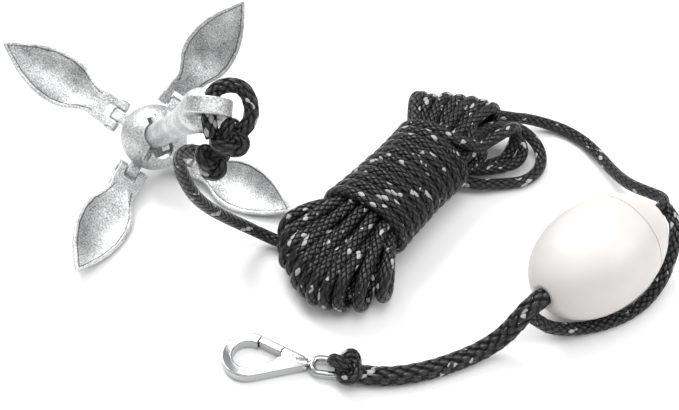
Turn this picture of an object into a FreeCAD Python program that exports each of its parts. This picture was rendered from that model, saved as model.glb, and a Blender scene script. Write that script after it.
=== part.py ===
"""Folding grapnel anchor with its rope, float and snap hook.

Every piece of the anchor is drawn in the anchor's own upright frame: the crown's
underside is at z = 0 and the shank runs up +Z.  One lean placement then lays the
open anchor down on its crown and its two lower flukes.  Millimetres throughout.
"""
import FreeCAD, Part
import math
import os
import re
import Sketcher

V = FreeCAD.Vector
X_AXIS = V(1, 0, 0)
Y_AXIS = V(0, 1, 0)
Z_AXIS = V(0, 0, 1)
START = 1
END = 2

doc = FreeCAD.newDocument("grapnel_anchor")

# ------------------------------------------------------------------ driving sizes
SIZES = [
    # shank: a round rod that flares into a head with a flat eye
    ("shank_dia", 16.6), ("shank_waist_dia", 15.6), ("shank_head_dia", 25.0),
    ("shank_flare_start", 112.0), ("shank_head_height", 193.0), ("tenon_dia", 10.0),
    ("eye_height", 205.0), ("eye_outer_dia", 25.4), ("eye_hole_dia", 13.0),
    ("eye_thickness", 9.0), ("eye_turn", -25.0), ("key_width", 4.6), ("key_span", 23.0),
    ("key_height", 39.5), ("key_length", 6.0),
    # crown
    ("crown_dia", 28.0), ("crown_height", 13.8), ("crown_chamfer", 1.2),
    ("lug_thickness", 7.5), ("lug_half_height", 4.6), ("pin_height", 9.0),
    ("pin_orbit", 28.4), ("washer_dia", 17.0), ("washer_thickness", 1.5),
    ("washer_recess", 2.0), ("rivet_head_dia", 14.0), ("rivet_head_height", 1.8),
    # fluke pins
    ("pin_dia", 5.6), ("pin_clearance", 0.05), ("pin_head_dia", 8.4),
    ("pin_head_height", 1.2), ("pin_side_gap", 0.1),
    # flukes
    ("root_width", 20.0), ("root_half_height", 4.5), ("root_length", 13.5),
    ("slot_width", 9.4), ("slot_depth", 8.6), ("fluke_reach", 87.0),
    ("fluke_half_width", 17.5), ("neck_half_width", 9.4), ("rim_width", 2.3),
    ("bowl_axis_rise", 14.7),
    ("fluke_1_open", 0.0), ("fluke_2_open", 27.0), ("fluke_3_open", 26.5),
    ("fluke_4_open", 34.0),
    # locking collar
    ("collar_radius", 22.6), ("collar_wall", 3.6), ("collar_seat", 13.9),
    ("collar_hole_dia", 18.6), ("notch_width", 6.6), ("notch_reach", 13.6),
    ("gap_width", 14.0), ("gap_reach", 16.5), ("detent_width", 3.4),
    ("detent_depth", 1.2),
    # rope: one plain braid, and a stretch doubled by its own tail
    ("rope_dia", 8.0), ("thick_rope_dia", 11.3), ("eye_knot_radius", 10.5),
    ("hook_knot_length", 20.0), ("hook_knot_width", 25.0), ("hook_knot_depth", 15.6),
    # hank: its winding's middle and heading, then the winding itself
    ("hank_x", 167.5), ("hank_y", -5.4), ("hank_heading", 51.8), ("winding_length", 85.6),
    ("winding_width", 66.0), ("winding_waist", 61.0), ("winding_depth", 48.0), ("hank_base", 0.4),
    # float: a hollow egg in two shells around a bore tube
    ("float_x", 286.0), ("float_y", -73.0), ("float_heading", 40.0), ("float_length", 102.0),
    ("float_dia", 68.0), ("float_taper", 0.05), ("float_wall", 2.6), ("float_seam", 20.0),
    ("bore_outer_dia", 14.0), ("bore_inner_dia", 10.6), ("bore_length", 99.0),
    # snap hook
    ("hook_x", 71.5), ("hook_y", -127.5), ("hook_heading", -8.0), ("hook_rise", 3.75),
    ("hook_thickness", 6.6), ("bow_outer_radius", 15.7), ("bow_inner_radius", 9.4),
    ("neck_reach", 31.6), ("neck_radius", 4.2), ("throat_reach", 15.5), ("throat_radius", 2.2),
    ("barrel_radius", 3.6), ("barrel_start", 28.6), ("barrel_end", 36.5), ("rivet_x", 25.0),
    ("rivet_y", 3.9), ("rivet_radius", 1.3), ("rivet_head_radius", 2.3), ("rivet_head_rise", 0.3),
    ("gate_angle", 158.7), ("gate_outer", 2.9), ("gate_inner", 1.7), ("gate_reach", 20.9),
    ("gate_gap", 0.3), ("cheek_radius", 5.2), ("tongue_thickness", 4.0), ("tongue_radius", 3.0),
    ("slot_clearance", 0.2), ("swivel_stem_radius", 1.9), ("swivel_head_radius", 2.6),
    ("swivel_head_start", 29.8), ("swivel_head_length", 1.5), ("swivel_clearance", 0.06),
    ("ring_wire_radius", 2.1), ("ring_length", 22.0), ("ring_width", 10.4),
    # how the anchor lies
    ("lean_angle", 43.65), ("lean_heading", -63.7), ("crown_turn", 219.2),
]
sheet = doc.addObject("Spreadsheet::Sheet", "Sizes")
for row, (alias, value) in enumerate(SIZES, start=1):
    sheet.set("A%d" % row, alias)
    sheet.set("B%d" % row, str(value))
    sheet.setAlias("B%d" % row, alias)
doc.recompute()


def size(alias):
    """A driving size, read back from the sheet."""
    return float(getattr(sheet, alias))


def of_sheet(text):
    """Turns the aliases in an expression into references to the sheet."""
    return re.sub(r"[a-z]\w*", lambda word: "Sizes." + word[0] if word[0] in ALIASES else word[0], text)


ALIASES = {alias for alias, _ in SIZES}


# ------------------------------------------------------------------ small helpers
def bind(obj, **expressions):
    """Binds properties of an object to expressions in the sheet's aliases."""
    for prop, text in expressions.items():
        obj.setExpression(prop.replace("__", "."), of_sheet(text))
    return obj


def cylinder(name, radius, height, base=None, direction=Z_AXIS):
    """A cylinder; radius, height and the entries of base are expressions."""
    obj = doc.addObject("Part::Cylinder", name)
    obj.Placement.Rotation = FreeCAD.Rotation(Z_AXIS, direction)
    bind(obj, Radius=radius, Height=height)
    for axis, text in (base or {}).items():
        obj.setExpression("Placement.Base." + axis, of_sheet(text))
    return obj


def box(name, length, width, height, base=None, turn=0.0):
    """A box whose sides and corner are expressions, turned about Z by degrees."""
    obj = doc.addObject("Part::Box", name)
    obj.Placement.Rotation = FreeCAD.Rotation(Z_AXIS, turn)
    bind(obj, Length=length, Width=width, Height=height)
    for axis, text in (base or {}).items():
        obj.setExpression("Placement.Base." + axis, of_sheet(text))
    return obj


def join(name, pieces):
    obj = doc.addObject("Part::MultiFuse", name)
    obj.Shapes = pieces
    return obj


def cut(name, base, tool):
    obj = doc.addObject("Part::Cut", name)
    obj.Base = base
    obj.Tool = tool
    return obj


def common(name, pieces):
    obj = doc.addObject("Part::MultiCommon", name)
    obj.Shapes = pieces
    return obj


def feature(name, shape, placement=None):
    """A plain feature, for a shape that no parametric object here can make."""
    obj = doc.addObject("Part::Feature", name)
    obj.Shape = shape
    if placement is not None:
        obj.Placement = placement
    return obj


def polygon_sketch(name, corners):
    """A closed sketch in the XZ plane; each corner is a pair of expressions."""
    sketch = doc.addObject("Sketcher::SketchObject", name)
    sketch.Placement = FreeCAD.Placement(V(), FreeCAD.Rotation(X_AXIS, 90))
    values = [tuple(sheet.evalExpression(of_sheet(text)) for text in corner) for corner in corners]
    points = [V(float(x), float(y), 0) for x, y in values]
    count = len(points)
    for index in range(count):
        sketch.addGeometry(Part.LineSegment(points[index], points[(index + 1) % count]), False)
    for index in range(count):
        sketch.addConstraint(Sketcher.Constraint("Coincident", index, END, (index + 1) % count, START))
    for index, (x_text, y_text) in enumerate(corners):
        for kind, text, value in (("DistanceX", x_text, points[index].x), ("DistanceY", y_text, points[index].y)):
            axis = -2 if kind == "DistanceX" else -1
            if text == "0":
                sketch.addConstraint(Sketcher.Constraint("PointOnObject", index, START, axis))
                continue
            number = sketch.addConstraint(Sketcher.Constraint(kind, -1, START, index, START, value))
            sketch.setExpression("Constraints[%d]" % number, of_sheet(text))
    return sketch


def revolve(name, source, axis=Z_AXIS, base=V()):
    """A full turn of a sketch or face about an axis."""
    obj = doc.addObject("Part::Revolution", name)
    obj.Source = source
    obj.Axis = axis
    obj.Base = base
    obj.Angle = 360.0
    obj.Solid = True
    return obj


def spline(points):
    """An edge through the given (x, y, z) points."""
    curve = Part.BSplineCurve()
    curve.interpolate([V(*point) for point in points])
    return curve.toShape()


# ------------------------------------------------------------------ the lean
LEAN = FreeCAD.Placement(V(), FreeCAD.Rotation(Z_AXIS, size("lean_heading"))).multiply(
    FreeCAD.Placement(V(), FreeCAD.Rotation(Y_AXIS, size("lean_angle"))))
FLUKES = {1: 0.0, 3: 90.0, 4: 180.0, 2: 270.0}


def crown_side(number):
    """The turn about the shank that faces one of the four lugs."""
    return FreeCAD.Placement(V(), FreeCAD.Rotation(Z_AXIS, size("crown_turn") + FLUKES[number]))


def pin_frame(number):
    """A fluke pin's own frame: X away from the shank, Z up it, Y along the pin."""
    out = FreeCAD.Placement(V(size("pin_orbit"), 0, size("pin_height")), FreeCAD.Rotation())
    return crown_side(number).multiply(out)


# ------------------------------------------------------------------ shank
def make_shank():
    profile = polygon_sketch("shank_profile", [
        ("0", "-rivet_head_height + washer_recess - washer_thickness"),
        ("rivet_head_dia / 2 - 1.5", "-rivet_head_height + washer_recess - washer_thickness"),
        ("rivet_head_dia / 2", "-rivet_head_height / 2"),
        ("rivet_head_dia / 2", "washer_recess - washer_thickness"),
        ("tenon_dia / 2", "washer_recess - washer_thickness"),
        ("tenon_dia / 2", "crown_height"),
        ("shank_dia / 2", "crown_height"),
        ("shank_dia / 2", "crown_height + 34"),
        ("shank_waist_dia / 2", "shank_flare_start"),
        ("shank_waist_dia / 2 + 1.6", "shank_flare_start + 32"),
        ("shank_head_dia / 2 - 0.9", "shank_head_height - 10"),
        ("shank_head_dia / 2", "shank_head_height - 4"),
        ("shank_head_dia / 2 - 1.6", "shank_head_height + 1.2"),
        ("shank_head_dia / 2 - 6.5", "shank_head_height + 5"),
        ("eye_thickness / 2", "shank_head_height + 7"),
        ("0", "shank_head_height + 8"),
    ])
    rod = revolve("shank_rod", profile)
    turned_eye = FreeCAD.Placement(V(), FreeCAD.Rotation(Z_AXIS, size("eye_turn")))
    disc = cylinder("eye_disc", "eye_outer_dia / 2", "eye_thickness",
                    {"x": "-eye_thickness / 2", "z": "eye_height"}, X_AXIS)
    cheek = box("eye_cheek", "eye_thickness", "eye_outer_dia - 1.4", "eye_height - shank_head_height",
                {"x": "-eye_thickness / 2", "y": "-( eye_outer_dia - 1.4 ) / 2", "z": "shank_head_height"})
    key = box("shank_keys", "key_span", "key_width", "key_length",
              {"x": "-key_span / 2", "y": "-key_width / 2", "z": "key_height"})
    eye = join("shank_eye", [disc, cheek])
    eye.Placement = turned_eye
    solid = join("shank_solid", [rod, eye, key])
    hole = cylinder("eye_hole", "eye_hole_dia / 2", "shank_head_dia",
                    {"x": "-shank_head_dia / 2 * cos(eye_turn)", "y": "-shank_head_dia / 2 * sin(eye_turn)",
                     "z": "eye_height"}, turned_eye.multVec(X_AXIS))
    return {"shank": cut("shank", solid, hole)}


# ------------------------------------------------------------------ crown
def make_crown():
    hub = revolve("crown_hub", polygon_sketch("crown_profile", [
        ("0", "0"),
        ("crown_dia / 2 - crown_chamfer", "0"),
        ("crown_dia / 2", "crown_chamfer"),
        ("crown_dia / 2", "crown_height"),
        ("0", "crown_height"),
    ]))
    pieces = [hub]
    pin_holes = []
    for number, turn in FLUKES.items():
        side = crown_side(number)
        arm = box("crown_arm_%d" % number, "pin_orbit", "lug_thickness", "lug_half_height * 2")
        arm.Placement = side.multiply(FreeCAD.Placement(
            V(0, -size("lug_thickness") / 2, size("pin_height") - size("lug_half_height")), FreeCAD.Rotation()))
        knuckle = cylinder("crown_knuckle_%d" % number, "lug_half_height", "lug_thickness")
        knuckle.Placement = pin_frame(number).multiply(FreeCAD.Placement(
            V(0, size("lug_thickness") / 2, 0), FreeCAD.Rotation(X_AXIS, 90)))
        pieces += [arm, knuckle]
        hole = cylinder("crown_pin_hole_%d" % number, "pin_dia / 2", "root_width")
        hole.Placement = pin_frame(number).multiply(FreeCAD.Placement(
            V(0, size("root_width") / 2, 0), FreeCAD.Rotation(X_AXIS, 90)))
        pin_holes.append(hole)
    tenon_hole = cylinder("crown_bore", "tenon_dia / 2", "crown_height + 2", {"z": "-1"})
    washer_seat = cylinder("crown_washer_seat", "washer_dia / 2", "washer_recess + 1", {"z": "-1"})
    tools = join("crown_holes", pin_holes + [tenon_hole, washer_seat])
    washer_disc = cylinder("washer_disc", "washer_dia / 2", "washer_thickness",
                           {"z": "washer_recess - washer_thickness"})
    washer_bore = cylinder("washer_bore", "tenon_dia / 2", "crown_height")
    return {"crown": cut("crown", join("crown_solid", pieces), tools),
            "crown_washer": cut("crown_washer", washer_disc, washer_bore)}


def make_pin(number):
    """A rivet through one lug, headed on both sides of the fluke's fork."""
    half = "( root_width / 2 + pin_side_gap )"
    shaft = cylinder("pin_shaft_%d" % number, "pin_dia / 2", half + " * 2", {"z": "-" + half})
    heads = []
    for end, z_text in ((1, half), (2, "-" + half + " - pin_head_height")):
        heads.append(cylinder("pin_head_%d_%d" % (number, end), "pin_head_dia / 2", "pin_head_height",
                              {"z": z_text}))
    pin = join("fluke_pin_%d" % number, [shaft] + heads)
    pin.Placement = pin_frame(number).multiply(FreeCAD.Placement(V(), FreeCAD.Rotation(X_AXIS, 90)))
    return pin


# ------------------------------------------------------------------ flukes
def fluke_outline():
    """Half widths of the fluke along its length, from the neck to the point."""
    reach = size("fluke_reach")
    wide = size("fluke_half_width")
    neck = size("neck_half_width")
    start = size("root_length")
    return [(start, size("root_width") / 2), (start + 5, neck), (reach * 0.30, neck * 1.24),
            (reach * 0.39, wide * 0.90), (reach * 0.50, wide), (reach * 0.64, wide * 0.93),
            (reach * 0.79, wide * 0.67), (reach * 0.92, wide * 0.30), (reach, wide * 0.04)]


def fluke_form():
    """One fluke in its pin frame: a forked root and a hollowed, pointed leaf."""
    top = size("root_half_height")
    axis_z = top + size("bowl_axis_rise")
    rise = size("bowl_axis_rise")
    start = size("root_length")
    reach = size("fluke_reach")
    rim = size("rim_width")
    outline = fluke_outline()
    first, last = outline[0], outline[-1]
    sides = [spline([(x, w, 0) for x, w in outline]), spline([(x, -w, 0) for x, w in outline])]
    ends = [Part.makeLine(V(first[0], first[1], 0), V(first[0], -first[1], 0)),
            Part.makeLine(V(last[0], last[1], 0), V(last[0], -last[1], 0))]
    plan = Part.Face(Part.Wire(Part.__sortEdges__(sides + ends)))
    depth = 2 * top + rise
    leaf_prism = feature("leaf_prism", plan.extrude(V(0, 0, depth)),
                         FreeCAD.Placement(V(0, 0, top - depth), FreeCAD.Rotation()))

    def turned(name, radii):
        """A solid turned about the bowl's axis, from its radii along X."""
        edge = spline([(x, 0, -radius) for x, radius in radii])
        x_first, x_last = radii[0][0], radii[-1][0]
        sides = [Part.makeLine(V(x_first, 0, 0), V(x_first, 0, -radii[0][1])),
                 Part.makeLine(V(x_last, 0, -radii[-1][1]), V(x_last, 0, 0)),
                 Part.makeLine(V(x_last, 0, 0), V(x_first, 0, 0))]
        face = Part.Face(Part.Wire(Part.__sortEdges__([edge] + sides)))
        solid = face.revolve(V(), X_AXIS, 360)
        return feature(name, solid, FreeCAD.Placement(V(0, 0, axis_z), FreeCAD.Rotation()))

    back_depth = [(start - 1, 9.0), (reach * 0.24, 8.2), (reach * 0.36, 9.2), (reach * 0.50, 9.8),
                  (reach * 0.65, 9.0), (reach * 0.80, 6.9), (reach * 0.92, 4.6), (reach + 1, 3.0)]
    back = turned("leaf_back", [(x, rise + deep) for x, deep in back_depth])
    bowl_width = [(reach * 0.165, 0.0), (reach * 0.22, 4.4), (reach * 0.30, 8.2), (reach * 0.39, wide_in(0.39, rim)),
                  (reach * 0.50, wide_in(0.50, rim)), (reach * 0.64, wide_in(0.64, rim)),
                  (reach * 0.79, wide_in(0.79, rim)), (reach * 0.90, 3.4), (reach * 0.965, 0.0)]
    bowl = turned("leaf_bowl", [(x, math.hypot(w, rise)) for x, w in bowl_width])
    leaf = common("leaf_blank", [leaf_prism, back])
    root = box("root_block", "root_length + 0.5", "root_width", "root_half_height * 2",
               {"y": "-root_width / 2", "z": "-root_half_height"})
    knuckle = cylinder("root_knuckle", "root_half_height", "root_width", {"y": "root_width / 2"},
                       V(0, -1, 0))
    blank = join("fluke_blank", [root, knuckle, leaf])
    slot = box("root_slot", "slot_depth + root_half_height + 1", "slot_width", "root_half_height * 4",
               {"x": "-root_half_height - 1", "y": "-slot_width / 2", "z": "-root_half_height * 2"})
    hole = cylinder("root_pin_hole", "pin_dia / 2 + pin_clearance", "root_width + 2",
                    {"y": "root_width / 2 + 1"}, V(0, -1, 0))
    return cut("fluke_form", blank, join("fluke_tools", [bowl, slot, hole]))


def wide_in(share, rim):
    """Half width of the bowl's mouth at a share of the reach, inside the rim."""
    reach = size("fluke_reach")
    outline = fluke_outline()
    for (x_a, w_a), (x_b, w_b) in zip(outline, outline[1:]):
        if x_a <= share * reach <= x_b + 1e-6:
            return w_a + (w_b - w_a) * (share * reach - x_a) / (x_b - x_a) - rim
    raise ValueError(share)


def make_fluke(form, number):
    """A casting from the one fluke form, hung on its pin at its own angle."""
    tilt = FreeCAD.Placement(V(), FreeCAD.Rotation(Y_AXIS, -size("fluke_%d_open" % number)))
    return feature("fluke_%d" % number, form.Shape.copy(), pin_frame(number).multiply(tilt))


# ------------------------------------------------------------------ locking collar
def make_collar():
    """A hollow dome on the shank with a keyed hole, seated on the crown's lugs."""
    outer = doc.addObject("Part::Sphere", "collar_outer")
    bind(outer, Radius="collar_radius", Placement__Base__z="collar_seat")
    inner = doc.addObject("Part::Sphere", "collar_inner")
    bind(inner, Radius="collar_radius - collar_wall", Placement__Base__z="collar_seat")
    keep = cylinder("collar_keep", "collar_radius + 1", "collar_radius + 1", {"z": "collar_seat"})
    shell = cut("collar_shell", common("collar_dome", [outer, keep]), inner)
    hole = cylinder("collar_hole", "collar_hole_dia / 2", "collar_radius * 2", {"z": "collar_seat"})
    notch = box("collar_notch", "notch_reach", "notch_width", "collar_radius",
                {"x": "-notch_reach", "y": "-notch_width / 2", "z": "collar_seat + 8"})
    gap = cylinder("collar_gap", "gap_width / 2", "collar_radius",
                   {"x": "gap_reach - gap_width / 2", "z": "collar_seat + 8"})
    tools = [hole, notch, gap]
    for turn in (136.0, 316.0):
        groove = box("collar_detent_%d" % turn, "collar_radius", "detent_width", "collar_radius")
        direction = FreeCAD.Rotation(Z_AXIS, turn)
        depth = size("collar_radius") - size("detent_depth")
        height = size("collar_seat") + math.sqrt(depth ** 2 - (size("collar_hole_dia") / 2) ** 2)
        groove.Placement = FreeCAD.Placement(V(0, 0, height), direction).multiply(FreeCAD.Placement(
            V(0, -size("detent_width") / 2, 0), FreeCAD.Rotation(Y_AXIS, 22)))
        tools.append(groove)
    return {"locking_collar": cut("locking_collar", shell, join("collar_tools", tools))}


# ------------------------------------------------------------------ the anchor
NODES = {}
NODES.update(make_shank())
NODES.update(make_crown())
NODES.update(make_collar())
for side_number in FLUKES:
    NODES["fluke_pin_%d" % side_number] = make_pin(side_number)
form = fluke_form()
doc.recompute()
for side_number in FLUKES:
    NODES["fluke_%d" % side_number] = make_fluke(form, side_number)

ANCHOR_NODES = list(NODES)
for name in ANCHOR_NODES:
    NODES[name].Placement = LEAN.multiply(NODES[name].Placement)
doc.recompute()

footprint = FreeCAD.BoundBox()
for name in ANCHOR_NODES:
    footprint.add(NODES[name].Shape.optimalBoundingBox(False))
to_origin = FreeCAD.Placement(V(-footprint.Center.x, -footprint.Center.y, -footprint.ZMin), FreeCAD.Rotation())
for name in ANCHOR_NODES:
    NODES[name].Placement = to_origin.multiply(NODES[name].Placement)
    NODES[name].Label = name
doc.recompute()
print("anchor box", [round(v, 3) for v in (footprint.XLength, footprint.YLength, footprint.ZLength)],
      "moved", [round(v, 3) for v in to_origin.Base])

# ------------------------------------------------------------------ rope helpers
def on_shank(across, aside, along):
    """A point given in the anchor's own frame, moved to where the anchor lies."""
    return to_origin.multiply(LEAN).multVec(V(across, aside, along))


def rope_path(points):
    """Straight runs joined by tangent arcs, and the arcs' radii."""
    corners = [V(*point) for point in points]
    edges = []
    radii = []
    start = corners[0]
    for before, corner, after in zip(corners, corners[1:], corners[2:]):
        arriving = (corner - before).normalize()
        leaving = (after - corner).normalize()
        half_turn = arriving.getAngle(leaving) / 2
        setback = 0.45 * min((corner - before).Length, (after - corner).Length)
        radius = setback / math.tan(half_turn)
        inward = (leaving - arriving).normalize()
        arc_start = corner - arriving * setback
        arc_end = corner + leaving * setback
        middle = corner + inward * (radius / math.cos(half_turn) - radius)
        edges.append(Part.LineSegment(start, arc_start).toShape())
        edges.append(Part.Arc(arc_start, middle, arc_end).toShape())
        radii.append(radius)
        start = arc_end
    edges.append(Part.LineSegment(start, corners[-1]).toShape())
    return Part.Wire(edges), radii


def rope(name, points, dia):
    """A plain tube along a rope's route."""
    path, radii = rope_path(points)
    first = V(*points[0])
    ring = Part.Circle(first, V(*points[1]) - first, dia / 2)
    solid = path.makePipeShell([Part.Wire(ring.toShape())], True, False)
    expected = math.pi * dia ** 2 / 4 * path.Length
    print("%-18s length %6.1f smallest radius %5.1f volume/expected %.3f" % (
        name, path.Length, min(radii, default=0), solid.Volume / expected))
    return feature(name, solid)


def knot(name, centre, length, width, depth, heading, tools):
    """A rounded lump, with the ropes and rings that enter it cut away."""
    lump = doc.addObject("Part::Ellipsoid", name + "_lump")
    lump.Angle1 = -90
    lump.Angle2 = 90
    lump.Angle3 = 360
    lump.Placement = FreeCAD.Placement(V(*centre), FreeCAD.Rotation(Z_AXIS, heading))
    bind(lump, Radius2=length + " / 2", Radius3=width + " / 2", Radius1=depth + " / 2")
    return cut(name, lump, join(name + "_tools", tools) if len(tools) > 1 else tools[0])


# ------------------------------------------------------------------ rope at the anchor
def make_eye_ropes():
    upper = on_shank(19.2, 5.4, 205)
    lower = on_shank(27, -3.4, 187)
    loop = rope("rope_eye_loop", [
        tuple(on_shank(*point)) for point in (
            (15.3, -2.7, 204), (8.3, -3.4, 205), (-7.1, 3.7, 205.4), (-8.4, 12.7, 208),
            (-3.7, 20, 211), (6.8, 21, 211), (16.6, 16, 209), (19.5, 6.3, 205))], size("rope_dia"))
    lead = rope("rope_lead", [
        tuple(on_shank(25, -3, 187)), (44, -76, 130), (36, -71, 116), (37, -68, 97), (41, -63, 76),
        (48, -52, 52), (59, -40, 28), (71, -34, 12), (84, -37, 6), (96, -45, 9)], size("rope_dia"))
    radius = "eye_knot_radius * 2"
    upper_knot = knot("rope_knot_upper", upper, radius, radius, radius, 0, [loop])
    lower_knot = knot("rope_knot_lower", lower, radius, radius, radius, 0, [lead, upper_knot])
    return {"rope_eye_loop": loop, "rope_lead": lead, "rope_knot_upper": upper_knot,
            "rope_knot_lower": lower_knot}


# ------------------------------------------------------------------ hank
def hank_frame():
    middle = V(size("hank_x"), size("hank_y"), 0)
    return FreeCAD.Placement(middle, FreeCAD.Rotation(Z_AXIS, size("hank_heading")))


def bundle(name, sections):
    """A loft through upright ovals: (along, aside, half width, half depth, height)."""
    ovals = []
    for along, aside, half_width, half_depth, height in sections:
        ellipse = Part.Ellipse(V(), half_width, half_depth)
        ellipse.transform(FreeCAD.Placement(V(along, aside, height), FreeCAD.Rotation(
            V(0, 1, 0), V(0, 0, 1), V(1, 0, 0), "ZXY")).toMatrix())
        ovals.append(Part.Wire(ellipse.toShape()))
    return feature(name, Part.makeLoft(ovals, True, False), hank_frame())


def make_hank(lead, run):
    end = size("winding_length") / 2
    half = size("winding_width") / 2
    waist = size("winding_waist") / 2
    deep = size("winding_depth") / 2
    middle = size("hank_base") + deep
    winding = bundle("hank_winding", [
        (-end, 0, half, deep, middle), (0, 0, waist, deep - 0.6, middle - 0.6),
        (end, 0, half - 1.5, deep, middle)])
    fan = bundle("hank_fan_solid", [
        (-end, 0, 31, 21, 23.5), (-60, 1, 34, 18.5, 20.5), (-76, 1, 37, 15, 17),
        (-90, -6, 28, 11, 12.5), (-100, -10, 12, 6, 8)])
    bights = bundle("hank_bights_solid", [
        (end, 0, 30, 21, 24), (60, 5, 34, 19.5, 25), (80, 2, 31, 17, 22),
        (96, -5, 22, 12, 18), (105, -9, 10, 6, 15)])
    loose = rope("hank_loose_solid", [
        (222, 24, 6), (236, 16, 5), (252, 17, 4.5), (264, 28, 4.5), (267, 43, 6), (260, 56, 9),
        (247, 61, 14), (234, 54, 20)], size("rope_dia"))
    return {"hank_winding": winding, "hank_fan": cut("hank_fan", fan, lead),
            "hank_bights": cut("hank_bights", bights, run),
            "hank_loose_loop": cut("hank_loose_loop", loose, join("hank_trim", [winding, bights, run]))}


# ------------------------------------------------------------------ float
def float_frame():
    middle = V(size("float_x"), size("float_y"), size("float_dia") / 2 + 0.3)
    return FreeCAD.Placement(middle, FreeCAD.Rotation(Z_AXIS, size("float_heading")))


def egg_radius(along, inset):
    """The float's radius at a place along its axis, inside by an inset."""
    half_length = size("float_length") / 2 - inset
    half_dia = size("float_dia") / 2 - inset
    round_part = math.sqrt(max(0.0, 1 - (along / half_length) ** 2))
    return half_dia * round_part * (1 - size("float_taper") * along / half_length)


def egg_end(inset):
    """How far out the egg reaches where it meets the bore tube."""
    half_length = size("float_length") / 2 - inset
    return half_length * math.sqrt(1 - (size("bore_outer_dia") / 2 / (size("float_dia") / 2 - inset)) ** 2)


def egg_shell(name, outward):
    """One of the two shells: outward is -1 at the mouth's end and 1 at the other."""
    seam = size("float_seam")
    bore = size("bore_outer_dia") / 2
    sides = []
    for inset in (0.0, size("float_wall")):
        tip = outward * egg_end(inset)
        places = [seam + (tip - seam) * share for share in (0, 0.25, 0.5, 0.7, 0.85, 0.95)]
        sides.append([(x, 0, egg_radius(x, inset)) for x in places] + [(tip, 0, bore)])
    outer, inner = sides
    edges = [spline(outer), spline(inner), Part.makeLine(V(*outer[0]), V(*inner[0])),
             Part.makeLine(V(*outer[-1]), V(*inner[-1]))]
    face = Part.Face(Part.Wire(Part.__sortEdges__(edges)))
    return feature(name, face.revolve(V(), X_AXIS, 360), float_frame())


def make_float():
    tube = []
    for part, dia in (("outer", "bore_outer_dia"), ("inner", "bore_inner_dia")):
        piece = cylinder("bore_" + part, dia + " / 2", "bore_length")
        piece.Placement = float_frame().multiply(FreeCAD.Placement(
            V(-size("bore_length") / 2, 0, 0), FreeCAD.Rotation(Z_AXIS, X_AXIS)))
        tube.append(piece)
    return {"float_body": egg_shell("float_body", -1), "float_cap": egg_shell("float_cap", 1),
            "float_bore_tube": cut("float_bore_tube", tube[0], tube[1])}


def make_float_ropes():
    half = size("bore_length") / 2
    far_end = float_frame().multVec(V(half + 0.5, 0, 0))
    past_far_end = float_frame().multVec(V(half + 9.5, 0, 0))
    mouth = float_frame().multVec(V(-half - 0.5, 0, 0))
    past_mouth = float_frame().multVec(V(-half - 10, 0, 0))
    run = rope("rope_run", [
        (248, 66, 18), (261, 72, 11), (276, 72, 6), (290, 66, 4.5), (301, 54, 5), (308, 39, 7),
        (313, 21, 11), (319, 2, 18), (328, -13, 26), (336, -24, 32), tuple(past_far_end),
        tuple(far_end)],
        size("rope_dia"))
    through = feature("rope_through_float", Part.makeCylinder(
        size("rope_dia") / 2, (mouth - far_end).Length, far_end, mouth - far_end))
    thick = rope("rope_thick", [
        tuple(mouth), tuple(past_mouth), (233, -116, 26), (225, -119.5, 14), (210, -126, 6.4),
        (187, -136, 5.9), (165, -142, 5.9), (143, -143, 6.4), (132, -140, 7.5)], size("thick_rope_dia"))
    loop = rope("rope_float_solid", [
        (334, -32, 33), (339, -42, 33), (338, -54, 28), (334, -65, 20), (328, -76, 12), (320, -85, 7),
        (310, -93, 4.6), (298, -100, 4.3), (285, -105, 4.6), (272, -109, 7), (260, -113, 12),
        (248, -116, 20), (238, -114, 30)], size("rope_dia"))
    trimmed = cut("rope_float_loop", loop, join("rope_float_trim", [run, thick]))
    return {"rope_run": run, "rope_through_float": through, "rope_thick": thick,
            "rope_float_loop": trimmed}


# ------------------------------------------------------------------ snap hook
def hook_frame():
    """The hook's own frame: bow centre, X towards the swivel, Z through its thickness."""
    middle = V(size("hook_x"), size("hook_y"), size("hook_rise"))
    return FreeCAD.Placement(middle, FreeCAD.Rotation(Z_AXIS, size("hook_heading")))


def flat_plate(name, outline, thickness):
    """A prism centred on the hook's mid plane."""
    solid = Part.Face(outline).extrude(V(0, 0, thickness))
    return feature(name, solid, hook_frame().multiply(FreeCAD.Placement(
        V(0, 0, -thickness / 2), FreeCAD.Rotation())))


def teardrop(big_radius, reach, small_radius):
    """Two circles on the X axis with their outer tangents."""
    lean = math.asin((big_radius - small_radius) / reach)
    up = V(math.sin(lean), math.cos(lean), 0)
    down = V(math.sin(lean), -math.cos(lean), 0)
    small = V(reach, 0, 0)
    return Part.Wire([
        Part.Arc(up * big_radius, V(-big_radius, 0, 0), down * big_radius).toShape(),
        Part.makeLine(down * big_radius, small + down * small_radius),
        Part.Arc(small + down * small_radius, small + V(small_radius, 0, 0),
                 small + up * small_radius).toShape(),
        Part.makeLine(small + up * small_radius, up * big_radius)])


def hook_disc(name, radius, height, x="0", y="0"):
    """A round prism through the hook's mid plane; sizes are expressions."""
    disc = doc.addObject("Part::Cylinder", name)
    bind(disc, Radius=radius, Height=height)
    centre = [float(sheet.evalExpression(of_sheet(text))) for text in (x, y, height)]
    disc.Placement = hook_frame().multiply(FreeCAD.Placement(
        V(centre[0], centre[1], -centre[2] / 2), FreeCAD.Rotation()))
    return disc


def hook_rod(name, radius, first, last):
    """A round rod along the hook's own X axis; sizes are expressions."""
    rod = doc.addObject("Part::Cylinder", name)
    bind(rod, Radius=radius, Height="( " + last + " ) - ( " + first + " )")
    start = float(sheet.evalExpression(of_sheet(first)))
    rod.Placement = hook_frame().multiply(FreeCAD.Placement(V(start, 0, 0), FreeCAD.Rotation(Z_AXIS, X_AXIS)))
    return rod


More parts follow.
